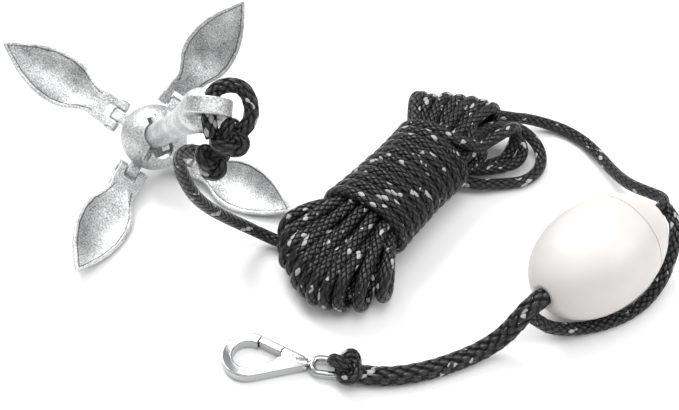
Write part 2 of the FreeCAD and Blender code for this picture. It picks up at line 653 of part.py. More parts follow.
def gate_sweep(name, thickness, last_angle):
    """The wedge about the rivet that the gate swings through."""
    pivot = V(size("rivet_x"), size("rivet_y"), 0)
    reach = size("gate_reach") * 1.6
    spread = [85.0, 125.0, 165.0, last_angle]
    corners = [pivot] + [pivot + V(math.cos(math.radians(a)), math.sin(math.radians(a)), 0) * reach
                         for a in spread]
    return flat_plate(name, Part.makePolygon(corners + [pivot]), thickness)


def make_hook():
    thickness = size("hook_thickness")
    plate = flat_plate("hook_plate", teardrop(
        size("bow_outer_radius"), size("neck_reach"), size("neck_radius")), thickness)
    opening = flat_plate("hook_opening", teardrop(
        size("bow_inner_radius"), size("throat_reach"), size("throat_radius")), thickness * 2)
    barrel = hook_rod("hook_barrel", "barrel_radius", "barrel_start", "barrel_end")
    at_rivet = {"x": "rivet_x", "y": "rivet_y"}
    reach_disc = hook_disc("gate_reach_disc", "gate_reach + gate_gap", "hook_thickness * 2", **at_rivet)
    cheek_disc = hook_disc("cheek_disc", "cheek_radius", "hook_thickness * 2", **at_rivet)
    mouth = cut("gate_mouth", common("gate_mouth_disc", [
        reach_disc, gate_sweep("gate_sweep", thickness * 2, 205.0)]), cheek_disc)
    slot_height = "tongue_thickness + slot_clearance"
    slot_disc = hook_disc("tongue_slot_disc", "tongue_radius + slot_clearance", slot_height, **at_rivet)
    slot_wedge = common("tongue_slot_wedge", [
        hook_disc("slot_wedge_disc", "cheek_radius + gate_gap", slot_height, **at_rivet),
        gate_sweep("slot_sweep", thickness * 2, 228.0)])
    rivet_hole = hook_disc("hook_rivet_hole", "rivet_radius", "hook_thickness * 2", **at_rivet)
    stem_hole = hook_rod("stem_hole", "swivel_stem_radius + swivel_clearance",
                         "swivel_head_start", "barrel_end + 1")
    head_hole = hook_rod("head_hole", "swivel_head_radius + swivel_clearance",
                         "swivel_head_start - swivel_clearance",
                         "swivel_head_start + swivel_head_length + swivel_clearance")
    body = cut("hook_body", join("hook_solid", [plate, barrel]), join("hook_cuts", [
        opening, mouth, slot_disc, slot_wedge, rivet_hole, stem_hole, head_hole]))
    rivet = join("gate_rivet", [
        hook_disc("rivet_shaft", "rivet_radius", "hook_thickness", **at_rivet),
        rivet_head("rivet_top", 1), rivet_head("rivet_bottom", -1)])
    return {"hook_body": body, "hook_gate": make_gate(), "gate_rivet": rivet, "swivel_eye": make_swivel()}


def rivet_head(name, side):
    """One of the rivet's two heads; side is 1 on top and -1 below."""
    head = cylinder(name, "rivet_head_radius", "rivet_head_rise")
    rise = size("hook_thickness") / 2 if side > 0 else -size("hook_thickness") / 2 - size("rivet_head_rise")
    head.Placement = hook_frame().multiply(FreeCAD.Placement(
        V(size("rivet_x"), size("rivet_y"), rise), FreeCAD.Rotation()))
    return head


def make_gate():
    """A bar on the rivet, thinned to a tongue between the hook's cheeks."""
    pivot = V(size("rivet_x"), size("rivet_y"), 0)
    along = FreeCAD.Rotation(Z_AXIS, size("gate_angle"))
    corners = []
    for reach, aside in ((0, -size("gate_outer")), (size("gate_reach") + 2, -size("gate_outer")),
                         (size("gate_reach") + 2, size("gate_inner")), (0, size("gate_inner"))):
        corners.append(pivot + along.multVec(V(reach, aside, 0)))
    outline = Part.makePolygon(corners + [corners[0]])
    at_rivet = {"x": "rivet_x", "y": "rivet_y"}
    bar = common("gate_bar", [
        flat_plate("gate_plate", outline, size("hook_thickness")),
        cut("gate_ring", hook_disc("gate_far_disc", "gate_reach", "hook_thickness", **at_rivet),
            hook_disc("gate_near_disc", "cheek_radius + gate_gap", "hook_thickness * 2", **at_rivet))])
    tongue = common("gate_tongue", [
        flat_plate("tongue_plate", outline, size("tongue_thickness")),
        hook_disc("tongue_far_disc", "cheek_radius + gate_gap + 1", "tongue_thickness", **at_rivet)])
    knuckle = hook_disc("gate_knuckle", "tongue_radius", "tongue_thickness", **at_rivet)
    hole = hook_disc("gate_hole", "rivet_radius + swivel_clearance", "hook_thickness * 2", **at_rivet)
    return cut("hook_gate", join("gate_solid", [bar, tongue, knuckle]), hole)


def make_swivel():
    """A stem with a head inside the barrel, and an oval ring for the rope."""
    wire = size("ring_wire_radius")
    start = size("barrel_end") + 0.3 + wire
    half_width = size("ring_width") / 2
    length = size("ring_length") - 2 * wire
    corner = V(start + half_width, half_width, 0)
    path = Part.Wire([
        Part.Arc(corner, V(start, 0, 0), V(corner.x, -half_width, 0)).toShape(),
        Part.makeLine(V(corner.x, -half_width, 0), V(start + length - half_width, -half_width, 0)),
        Part.Arc(V(start + length - half_width, -half_width, 0), V(start + length, 0, 0),
                 V(start + length - half_width, half_width, 0)).toShape(),
        Part.makeLine(V(start + length - half_width, half_width, 0), corner)])
    section = Part.Circle(V(corner.x, -half_width, 0), X_AXIS, wire)
    ring = feature("swivel_ring", path.makePipeShell([Part.Wire(section.toShape())], True, False), hook_frame())
    stem = hook_rod("swivel_stem", "swivel_stem_radius", "swivel_head_start", "barrel_end + 0.3 + ring_wire_radius")
    head = hook_rod("swivel_head", "swivel_head_radius", "swivel_head_start",
                    "swivel_head_start + swivel_head_length")
    return join("swivel_eye", [ring, stem, head])


# ------------------------------------------------------------------ everything on the rope
eye_ropes = make_eye_ropes()
NODES.update(eye_ropes)
NODES.update(make_float())
NODES.update(make_float_ropes())
NODES.update(make_hank(eye_ropes["rope_lead"], NODES["rope_run"]))
NODES.update(make_hook())
NODES["rope_hook_knot"] = knot("rope_hook_knot", (131, -138, 8.2), "hook_knot_length", "hook_knot_width",
                               "hook_knot_depth", 20, [NODES["rope_thick"], NODES["swivel_eye"]])
doc.recompute()
for name, obj in NODES.items():
    obj.Label = name

# ------------------------------------------------------------------ check and write
for obj in doc.Objects:
    if "Invalid" in obj.State or "Error" in obj.State:
        raise RuntimeError("%s failed: %s" % (obj.Name, obj.State))
for name, obj in NODES.items():
    shape = obj.Shape
    if shape.isNull() or not shape.isValid() or shape.Volume <= 0:
        raise RuntimeError("%s has no valid solid" % name)
os.makedirs("parts", exist_ok=True)
for name, obj in sorted(NODES.items()):
    obj.Shape.exportStep("parts/%s.step" % name)
    print("%-22s solids %d volume %9.1f mm3" % (name, len(obj.Shape.Solids), obj.Shape.Volume))
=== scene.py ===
"""Looks for the folding grapnel anchor: castings, braided rope, egg float and snap hook."""
import math
import random

import bpy
import numpy as np
from mathutils import Matrix, Vector


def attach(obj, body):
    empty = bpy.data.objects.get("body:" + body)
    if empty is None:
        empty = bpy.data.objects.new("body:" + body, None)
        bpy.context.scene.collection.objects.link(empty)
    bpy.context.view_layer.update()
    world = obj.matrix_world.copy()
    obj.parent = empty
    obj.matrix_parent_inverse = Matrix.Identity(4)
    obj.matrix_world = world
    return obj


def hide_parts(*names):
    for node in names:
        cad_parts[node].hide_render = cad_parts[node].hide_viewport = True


MM = 0.001
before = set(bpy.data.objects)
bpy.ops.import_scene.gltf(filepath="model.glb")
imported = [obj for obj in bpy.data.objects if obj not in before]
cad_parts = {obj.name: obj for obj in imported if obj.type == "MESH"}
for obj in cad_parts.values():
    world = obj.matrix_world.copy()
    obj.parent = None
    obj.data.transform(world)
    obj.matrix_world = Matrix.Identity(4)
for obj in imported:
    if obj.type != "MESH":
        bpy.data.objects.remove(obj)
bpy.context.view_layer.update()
random.seed(7)

# ------------------------------------------------------------------ frames, in millimetres
CROWN = Vector((-4.199, 44.81, 17.652))
LEAN = Matrix.Rotation(math.radians(-63.7), 3, "Z") @ Matrix.Rotation(math.radians(43.65), 3, "Y")
ROPE_DIA = 8.0
THICK_DIA = 11.3
HANK_MIDDLE = Vector((167.5, -5.4, 24.4))
HANK_TURN = Matrix.Rotation(math.radians(51.8), 3, "Z")
FLOAT_MIDDLE = Vector((286.0, -73.0, 34.3))
FLOAT_TURN = Matrix.Rotation(math.radians(40.0), 3, "Z")
FLOAT_END = 50.0
BRAID_STRANDS = 6
BRAID_RATE = 1.25  # steps of the pattern in one diameter along
BRAID_ACROSS = (0.62, 2.4)  # how far, and to what power, a strand falls away to its sides
BRAID_LENGTHWISE = (0.38, 3.5)  # the same towards its ends
PHASE_SHIFT = 6144.0  # a multiple of the strands and of two, so that no phase is negative
CUT_END_V = 0.03


def on_shank(across, aside, along):
    return CROWN + LEAN @ Vector((across, aside, along))


def on_hank(along, aside, height):
    return HANK_MIDDLE + HANK_TURN @ Vector((along, aside, height))


def on_float(along, aside=0.0, up=0.0):
    return FLOAT_MIDDLE + FLOAT_TURN @ Vector((along, aside, up))


# ------------------------------------------------------------------ camera, floor and light
def make_stage():
    camera_data = bpy.data.cameras.new("camera")
    camera_data.sensor_width = 36.0
    camera_data.lens = 59.38
    camera = bpy.data.objects.new("camera", camera_data)
    bpy.context.collection.objects.link(camera)
    target = Vector((126.6, -1.1, 0.0)) * MM
    elevation = math.radians(48.0)
    distance = 0.760
    camera.location = target + Vector((0, -math.cos(elevation), math.sin(elevation))) * distance
    camera.rotation_euler = (math.pi / 2 - elevation, 0, 0)
    bpy.context.scene.camera = camera

    bpy.ops.mesh.primitive_plane_add(size=6.0, location=(0.12, 0, 0))
    floor = bpy.context.object
    floor.name = "floor"
    floor.data.materials.append(plain_material("floor_white", (0.93, 0.93, 0.93), 0.9))
    bpy.context.scene.view_settings.view_transform = "Standard"

    world = bpy.data.worlds.new("studio")
    bpy.context.scene.world = world
    world.use_nodes = True
    tree = world.node_tree
    background = tree.nodes["Background"]
    sky = add(tree, "ShaderNodeSeparateXYZ")
    tree.links.new(add(tree, "ShaderNodeTexCoord").outputs["Generated"], sky.inputs[0])
    dome = ramp(tree, sky.outputs[2], [
        (0.0, (0.10, 0.10, 0.10)), (0.22, (0.16, 0.16, 0.16)), (0.42, (0.75, 0.75, 0.75)),
        (0.75, (1.0, 1.0, 1.0))])
    tree.links.new(dome, background.inputs["Color"])
    background.inputs["Strength"].default_value = 0.80
    for name, place, size, power in (
            ("key", (-0.45, 0.85, 1.25), 0.7, 20.0),
            ("top", (0.25, -0.1, 1.6), 1.0, 9.0),
            ("side", (1.2, -0.3, 0.8), 0.5, 5.0)):
        light_data = bpy.data.lights.new(name, "AREA")
        light_data.size = size
        light_data.energy = power
        light = bpy.data.objects.new(name, light_data)
        light.location = place
        light.rotation_euler = (target - Vector(place)).to_track_quat("-Z", "Y").to_euler()
        bpy.context.collection.objects.link(light)


# ------------------------------------------------------------------ material helpers
def new_material(name):
    material = bpy.data.materials.new(name)
    material.use_nodes = True
    return material, material.node_tree, material.node_tree.nodes["Principled BSDF"]


def plain_material(name, colour, roughness):
    material, _, shader = new_material(name)
    shader.inputs["Base Color"].default_value = (*colour, 1)
    shader.inputs["Roughness"].default_value = roughness
    return material


def add(tree, kind, **settings):
    node = tree.nodes.new(kind)
    for key, value in settings.items():
        setattr(node, key, value)
    return node


def math_node(tree, operation, first, second=None):
    """A math node's output; each input is a socket or a number."""
    node = add(tree, "ShaderNodeMath", operation=operation)
    for index, value in enumerate((first, second)):
        if value is None:
            continue
        if isinstance(value, (int, float)):
            node.inputs[index].default_value = value
        else:
            tree.links.new(value, node.inputs[index])
    return node.outputs[0]


def noise(tree, scale, detail=2.0, vector=None):
    node = add(tree, "ShaderNodeTexNoise")
    node.inputs["Scale"].default_value = scale
    node.inputs["Detail"].default_value = detail
    tree.links.new(vector or position(tree), node.inputs["Vector"])
    return node.outputs["Fac"]


def position(tree):
    return add(tree, "ShaderNodeTexCoord").outputs["Object"]


def ramp(tree, factor, stops):
    node = add(tree, "ShaderNodeValToRGB")
    while len(node.color_ramp.elements) < len(stops):
        node.color_ramp.elements.new(0.5)
    for element, (place, colour) in zip(node.color_ramp.elements, stops):
        element.position = place
        element.color = (*colour, 1)
    tree.links.new(factor, node.inputs["Fac"])
    return node.outputs["Color"]


def mixed_colour(tree, factor, first, second):
    """The first colour, a socket, giving way to the second, a plain colour."""
    node = add(tree, "ShaderNodeMix", data_type="RGBA")
    tree.links.new(factor, node.inputs["Factor"])
    tree.links.new(first, node.inputs["A"])
    node.inputs["B"].default_value = (*second, 1)
    return node.outputs["Result"]


def bump(tree, shader, height, strength, distance):
    node = add(tree, "ShaderNodeBump")
    node.inputs["Strength"].default_value = strength
    node.inputs["Distance"].default_value = distance
    tree.links.new(height, node.inputs["Height"])
    tree.links.new(node.outputs["Normal"], shader.inputs["Normal"])


# ------------------------------------------------------------------ materials
def galvanised_material():
    """Hot-dip galvanised casting: sandy sparkling grain, with painted highlights on proud edges and
    painted shade in creases.
    """
    material, tree, shader = new_material("galvanised")
    cloudy = noise(tree, 55, 4)
    grain = noise(tree, 1000, 3)
    fine = noise(tree, 3000, 2)
    mixed = math_node(tree, "ADD", math_node(tree, "MULTIPLY", cloudy, 0.40),
                      math_node(tree, "MULTIPLY", grain, 0.60))
    colour = ramp(tree, mixed, [(0.36, (0.24, 0.245, 0.25)), (0.46, (0.47, 0.475, 0.48)),
                                (0.55, (0.68, 0.685, 0.69)), (0.66, (0.93, 0.93, 0.93))])
    # the vertex value drives painted light: creases are painted near black as painted shade, proud
    # edges near white as a painted highlight
    edge_rounding_and_painted_light = add(tree, "ShaderNodeAttribute", attribute_name="edge_rounding_and_painted_light").outputs["Fac"]
    crease_painted_shade = math_node(tree, "MULTIPLY", math_node(tree, "LESS_THAN", edge_rounding_and_painted_light, 0.5), math_node(
        tree, "MULTIPLY", math_node(tree, "SUBTRACT", 0.5, edge_rounding_and_painted_light), 2.0))
    edge_painted_highlight = math_node(tree, "MULTIPLY", math_node(tree, "GREATER_THAN", edge_rounding_and_painted_light, 0.5), math_node(
        tree, "MULTIPLY", math_node(tree, "SUBTRACT", edge_rounding_and_painted_light, 0.5), 1.6))
    colour_with_painted_shade = mixed_colour(tree, crease_painted_shade, colour, (0.02, 0.02, 0.022))
    colour_with_painted_light = mixed_colour(tree, edge_painted_highlight, colour_with_painted_shade, (0.93, 0.93, 0.93))
    tree.links.new(colour_with_painted_light, shader.inputs["Base Color"])
    shader.inputs["Metallic"].default_value = 0.80
    rough = ramp(tree, fine, [(0.38, (0.24, 0.24, 0.24)), (0.62, (0.56, 0.56, 0.56))])
    tree.links.new(rough, shader.inputs["Roughness"])
    relief = math_node(tree, "ADD", math_node(tree, "MULTIPLY", grain, 0.65),
                       math_node(tree, "MULTIPLY", fine, 0.35))
    bump(tree, shader, relief, 0.75, 0.0006)
    return material


def rope_material():
    """Black braid with pale tracer flecks and painted shade darkening the hollows between strands;
    U runs along in diameters, V round it.
    """
    material, tree, shader = new_material("rope")
    uv = add(tree, "ShaderNodeUVMap", uv_map="rope").outputs["UV"]
    split = add(tree, "ShaderNodeSeparateXYZ")
    tree.links.new(uv, split.inputs[0])
    along = math_node(tree, "MULTIPLY", split.outputs[0], BRAID_RATE)
    around = math_node(tree, "MULTIPLY", split.outputs[1], float(BRAID_STRANDS))
    right = math_node(tree, "ADD", math_node(tree, "ADD", around, along), PHASE_SHIFT)
    left = math_node(tree, "ADD", math_node(tree, "SUBTRACT", around, along), PHASE_SHIFT)
    cells = []
    for phase in (right, left):
        index = math_node(tree, "FLOOR", phase)
        inside = math_node(tree, "ABSOLUTE", math_node(tree, "MULTIPLY", math_node(
            tree, "SUBTRACT", math_node(tree, "FRACT", phase), 0.5), 2.0))
        cells.append((index, inside))
    (right_index, right_inside), (left_index, left_inside) = cells
    parity = math_node(tree, "MODULO", math_node(tree, "ADD", right_index, left_index), 2.0)
    even = math_node(tree, "SUBTRACT", 1.0, parity)
    falls = []
    for over, under, (depth, power) in ((right_inside, left_inside, BRAID_ACROSS),
                                        (left_inside, right_inside, BRAID_LENGTHWISE)):
        place = math_node(tree, "ADD", math_node(tree, "MULTIPLY", over, even),
                          math_node(tree, "MULTIPLY", under, parity))
        falls.append(math_node(tree, "MULTIPLY", math_node(tree, "POWER", place, power), depth))
    height = math_node(tree, "SUBTRACT", 1.0, math_node(tree, "ADD", *falls))
    fibres = noise(tree, 2200, 2)
    patch = noise(tree, 120, 1)
    # the braid's colour is painted darker towards the hollows between strands as painted shade,
    # with fibre noise for a random tone
    depth = math_node(tree, "MULTIPLY", height, math_node(tree, "ADD", 0.35, fibres))
    braid_tone_and_painted_shade = ramp(tree, depth, [
        (0.0, (0.0, 0.0, 0.0)), (0.40, (0.003, 0.003, 0.003)), (0.70, (0.009, 0.009, 0.010)),
        (1.0, (0.060, 0.060, 0.062))])
    tracer = None
    for index, over, which in ((right_index, even, 1.0), (left_index, parity, 4.0)):
        strand = math_node(tree, "MODULO", index, float(BRAID_STRANDS))
        chosen = math_node(tree, "COMPARE", strand, which)
        chosen.node.inputs[2].default_value = 0.25
        shown = math_node(tree, "MULTIPLY", chosen, over)
        tracer = shown if tracer is None else math_node(tree, "MAXIMUM", tracer, shown)
    often = math_node(tree, "GREATER_THAN", patch, 0.53)
    body = math_node(tree, "GREATER_THAN", height, 0.52)
    mask = math_node(tree, "MULTIPLY", math_node(tree, "MULTIPLY", tracer, often), body)
    flecked = mixed_colour(tree, mask, braid_tone_and_painted_shade, (0.40, 0.40, 0.39))
    tree.links.new(flecked, shader.inputs["Base Color"])
    shader.inputs["Roughness"].default_value = 0.30
    shader.inputs["Specular IOR Level"].default_value = 0.28
    bump(tree, shader, height, 1.0, 0.0012)
    return material


def float_material():
    """Warm white moulding, very slightly mottled."""
    material, tree, shader = new_material("float_white")
    soft = noise(tree, 26, 2)
    colour = ramp(tree, soft, [(0.35, (0.605, 0.582, 0.568)), (0.65, (0.66, 0.645, 0.635))])
    tree.links.new(colour, shader.inputs["Base Color"])
    shader.inputs["Roughness"].default_value = 0.42
    shader.inputs["Subsurface Weight"].default_value = 0.15
    shader.inputs["Subsurface Scale"].default_value = 0.004
    bump(tree, shader, noise(tree, 700, 2), 0.06, 0.0004)
    return material


def chrome_material():
    """Polished stainless steel: faint polishing marks; proud edges painted dark as a painted
    reflection of a dark horizon, and creases and joints painted dark as painted shade.
    """
    material, tree, shader = new_material("hook_chrome")
    edge_rounding_and_painted_light = add(tree, "ShaderNodeAttribute", attribute_name="edge_rounding_and_painted_light").outputs["Fac"]
    edge_painted_reflection_and_shade = math_node(tree, "ABSOLUTE", math_node(tree, "SUBTRACT", edge_rounding_and_painted_light, 0.5))
    # flat faces keep the steel's colour; proud edges get a painted dark reflection and creases and
    # joints painted shade
    colour = ramp(tree, edge_painted_reflection_and_shade, [(0.03, (0.50, 0.505, 0.51)), (0.12, (0.30, 0.305, 0.31)),
                               (0.26, (0.06, 0.06, 0.065))])
    tree.links.new(colour, shader.inputs["Base Color"])
    shader.inputs["Metallic"].default_value = 1.0
    marks = noise(tree, 60, 3)
    rough = ramp(tree, marks, [(0.3, (0.10, 0.10, 0.10)), (0.7, (0.24, 0.24, 0.24))])
    tree.links.new(rough, shader.inputs["Roughness"])
    bump(tree, shader, noise(tree, 260, 3), 0.10, 0.0004)
    return material


# ------------------------------------------------------------------ mesh helpers
def new_object(name, vertices, faces, material):
    mesh = bpy.data.meshes.new(name)
    mesh.from_pydata(vertices, [], faces)
    mesh.materials.append(material)
    mesh.polygons.foreach_set("use_smooth", [True] * len(mesh.polygons))
    obj = bpy.data.objects.new(name, mesh)
    bpy.context.collection.objects.link(obj)
    return obj


def mark_painted_light(mesh, painted_shade_lines):
    """A vertex value for painted light: above a half where an edge is proud, for a painted
    highlight, below a half in a crease, for painted shade.
    """
    contrast = 2.4
    rim_groove_shade_value = 0.12
    count = len(mesh.vertices)
    places, normals = np.zeros(count * 3), np.zeros(count * 3)
    mesh.vertices.foreach_get("co", places)
    mesh.vertices.foreach_get("normal", normals)
    places, normals = places.reshape(-1, 3), normals.reshape(-1, 3)
    edges = np.zeros(len(mesh.edges) * 2, dtype=np.int64)
    mesh.edges.foreach_get("vertices", edges)
    edges = edges.reshape(-1, 2)
    around = np.zeros((count, 3))
    number = np.zeros(count)
    for one, other in ((0, 1), (1, 0)):
        np.add.at(around, edges[:, one], places[edges[:, other]])
        np.add.at(number, edges[:, one], 1)
    around /= np.maximum(number, 1)[:, None]
    proud = ((places - around) * normals).sum(axis=1) / (0.5 * MM)
    for _ in range(2):
        spread = np.zeros(count)
        for one, other in ((0, 1), (1, 0)):
            np.add.at(spread, edges[:, one], proud[edges[:, other]])
        proud = 0.5 * proud + 0.5 * spread / np.maximum(number, 1)
    # the value marks where light and shade are painted: high on proud edges for a painted
    # highlight, low in creases for painted shade
    value = np.clip(0.5 + proud * contrast, 0, 1)
    # on a given line, such as a fluke's rim groove, the value is set low for a painted dark line of
    # shade
    if painted_shade_lines is not None:
        value = np.where(painted_shade_lines(places), rim_groove_shade_value, value)
    layer = mesh.attributes.new("edge_rounding_and_painted_light", "FLOAT", "POINT")
    layer.data.foreach_set("value", value)


def evaluated_mesh(obj):
    return bpy.data.meshes.new_from_object(obj.evaluated_get(bpy.context.evaluated_depsgraph_get()))


def softened(node, name, material, voxel, passes, body, painted_shade_lines=None):
    """A cast or polished copy of a CAD node: remeshed, with its edges worn round, and with a vertex
    value for painted highlight and painted shade.
    """
    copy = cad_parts[node].copy()
    copy.data = copy.data.copy()
    copy.parent = None
    copy.matrix_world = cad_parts[node].matrix_world
    bpy.context.collection.objects.link(copy)
    remesh = copy.modifiers.new("remesh", "REMESH")
    remesh.mode = "VOXEL"
    remesh.voxel_size = voxel * MM
    edge_rounding_and_painted_light = copy.modifiers.new("edge_rounding_and_painted_light", "SMOOTH")
    edge_rounding_and_painted_light.factor = 0.5
    edge_rounding_and_painted_light.iterations = passes
    bpy.context.view_layer.update()
    mesh = evaluated_mesh(copy)
    mesh.transform(copy.matrix_world)
    bpy.data.objects.remove(copy)
    mesh.materials.clear()
    mesh.materials.append(material)
    mesh.polygons.foreach_set("use_smooth", [True] * len(mesh.polygons))
    # the vertex value for the painted highlight on proud edges and the painted shade in creases
    mark_painted_light(mesh, painted_shade_lines)
    piece = bpy.data.objects.new(name, mesh)
    bpy.context.collection.objects.link(piece)
    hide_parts(node)
    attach(piece, body)
    return piece


# ------------------------------------------------------------------ rope helpers
def route_line(name, points, resolution):
    """Points along the smooth NURBS spline that has the route's points as its controls."""
    data = bpy.data.curves.new(name, "CURVE")
    data.dimensions = "3D"
    spline = data.splines.new("NURBS")
    spline.points.add(len(points) - 1)
    for point, place in zip(spline.points, points):
        point.co = (*(Vector(place) * MM), 1)
    spline.order_u = 3
    spline.use_endpoint_u = True
    spline.resolution_u = resolution
    obj = bpy.data.objects.new(name, data)
    bpy.context.collection.objects.link(obj)
    bpy.context.view_layer.update()
    mesh = evaluated_mesh(obj)
    line = np.array([vertex.co[:] for vertex in mesh.vertices])
    bpy.data.objects.remove(obj)
    bpy.data.meshes.remove(mesh)
    return line


def even_steps(line, step):
    """The same line with points a steady step apart."""
    lengths = np.concatenate([[0], np.cumsum(np.linalg.norm(np.diff(line, axis=0), axis=1))])
    keep = np.concatenate([[True], np.diff(lengths) > 1e-9])
    count = max(2, int(round(lengths[-1] / step)) + 1)
    wanted = np.linspace(0, lengths[-1], count)
    steady = [np.interp(wanted, lengths[keep], line[keep, axis]) for axis in range(3)]
    return np.stack(steady, axis=1), wanted


def carried_normals(line):
    """A normal at each point that turns with the line and never twists."""
    tangents = np.gradient(line, axis=0)
    tangents /= np.linalg.norm(tangents, axis=1)[:, None]
    upright = abs(tangents[0][2]) >= 0.9
    start = np.array([1.0, 0.0, 0.0]) if upright else np.array([0.0, 0.0, 1.0])
    normals = np.zeros_like(line)
    normal = start - tangents[0] * (start @ tangents[0])
    for index, tangent in enumerate(tangents):
        normal = normal - tangent * (normal @ tangent)
        normal /= np.linalg.norm(normal)
        normals[index] = normal
    return tangents, normals


def braid_height(along, around):
    """The braid's relief, 0 to 1, for a place in diameters and turns."""
    right = around * BRAID_STRANDS + along * BRAID_RATE
    left = around * BRAID_STRANDS - along * BRAID_RATE
    parity = (np.floor(right) + np.floor(left)) % 2
    right_inside = np.abs((right % 1) * 2 - 1)
    left_inside = np.abs((left % 1) * 2 - 1)
    across = np.where(parity < 0.5, right_inside, left_inside)
    lengthwise = np.where(parity < 0.5, left_inside, right_inside)
    side_fall, side_power = BRAID_ACROSS
    end_fall, end_power = BRAID_LENGTHWISE
    return 1 - side_fall * across ** side_power - end_fall * lengthwise ** end_power


def braided(name, line, dia, material, around, step, relief=0.0):
    """A rope's skin along a line, with UVs in diameters along and turns around."""
    line, lengths = even_steps(line, step * MM)
    tangents, normals = carried_normals(line)
    sideways = np.cross(tangents, normals)
    turns = np.arange(around) / around
    angles = turns * 2 * math.pi
    radius = dia * MM / 2 * np.ones((len(line), around))
    if relief:
        relief_map = braid_height(lengths[:, None] / (dia * MM), turns[None, :])
        radius += (relief_map - 0.7) * relief * MM
    ring = (normals[:, None, :] * np.cos(angles)[None, :, None]
            + sideways[:, None, :] * np.sin(angles)[None, :, None])
    vertices = (line[:, None, :] + ring * radius[:, :, None]).reshape(-1, 3)
    rows, columns = np.meshgrid(np.arange(len(line) - 1), np.arange(around), indexing="ij")
    after = (columns + 1) % around
    quads = np.stack([rows * around + columns, rows * around + after, (rows + 1) * around + after,
                      (rows + 1) * around + columns], axis=-1).reshape(-1, 4)
    caps = [tuple(range(around))[::-1], tuple((len(line) - 1) * around + i for i in range(around))]
    piece = new_object(name, vertices.tolist(), quads.tolist() + caps, material)
    layer = piece.data.uv_layers.new(name="rope")
    u = lengths / (dia * MM)
    corners = np.stack([np.stack([u[row], turn / around], -1) for row, turn in (
        (rows, columns), (rows, columns + 1), (rows + 1, columns + 1), (rows + 1, columns))],
        axis=2).reshape(-1, 2)
    ends = np.array([[u[0], CUT_END_V]] * around + [[u[-1], CUT_END_V]] * around)
    layer.data.foreach_set("uv", np.concatenate([corners, ends]).ravel())
    return piece, line


# ------------------------------------------------------------------ the rope's routes
LEAD = [tuple(on_shank(25, -3, 187)), (44, -76, 130), (36, -71, 116), (37, -68, 97), (41, -63, 76),
        (48, -52, 52), (59, -40, 28), (71, -34, 12), (84, -37, 6), (96, -45, 9)]
RUN = [(248, 66, 18), (261, 72, 11), (276, 72, 6), (290, 66, 4.5), (301, 54, 5), (308, 39, 7),
       (313, 21, 11), (319, 2, 18), (328, -13, 26), (336, -24, 32), tuple(on_float(59)),
       tuple(on_float(FLOAT_END)), tuple(on_float(-FLOAT_END))]
THICK = [tuple(on_float(-FLOAT_END)), tuple(on_float(-59.5)), (233, -116, 26), (225, -119.5, 14),
         (210, -126, 6.4), (187, -136, 5.9), (165, -142, 5.9), (143, -143, 6.4), (132, -140, 7.5)]
FLOAT_LOOP = [(334, -32, 33), (339, -42, 33), (338, -54, 28), (334, -65, 20), (328, -76, 12),
              (320, -85, 7), (310, -93, 4.6), (298, -100, 4.3), (285, -105, 4.6), (272, -109, 7),
              (260, -113, 12), (248, -116, 20), (238, -114, 30)]
EYE_LOOP = [tuple(on_shank(*point)) for point in (
    (15.3, -2.7, 204), (8.3, -3.4, 205), (-7.1, 3.7, 205.4), (-8.4, 12.7, 208), (-3.7, 20, 211),
    (6.8, 21, 211), (16.6, 16, 209), (19.5, 6.3, 205))]
LOOPS = 11
# the loops that lie loose at the far end, by the number of the loop that each follows
OPEN_LOOPS = {
    7: [(216, 9, 9), (236, 13, 5.5), (254, 16, 4.5), (266, 28, 4.8), (268, 43, 7),
        (261, 55, 11), (248, 58, 18), (230, 47, 26)],
    8: [(214, 19, 13), (231, 22, 11), (246, 27, 9), (255, 37, 10), (252, 48, 15),
        (240, 52, 23), (224, 42, 30)]}


def bundle_places():
    """Where the hank's loops cross its winding: (aside, height above and below the middle)."""
    places = []
    for index in range(LOOPS):
        aside = 18.0 - 3.6 * index
        height = 4.0 if index % 2 == 0 else 12.0 * (1 - 0.25 * (aside / 15) ** 2)
        places.append((aside, height))
    return places


def hank_points(*points):
    return [tuple(on_hank(*point)) for point in points]


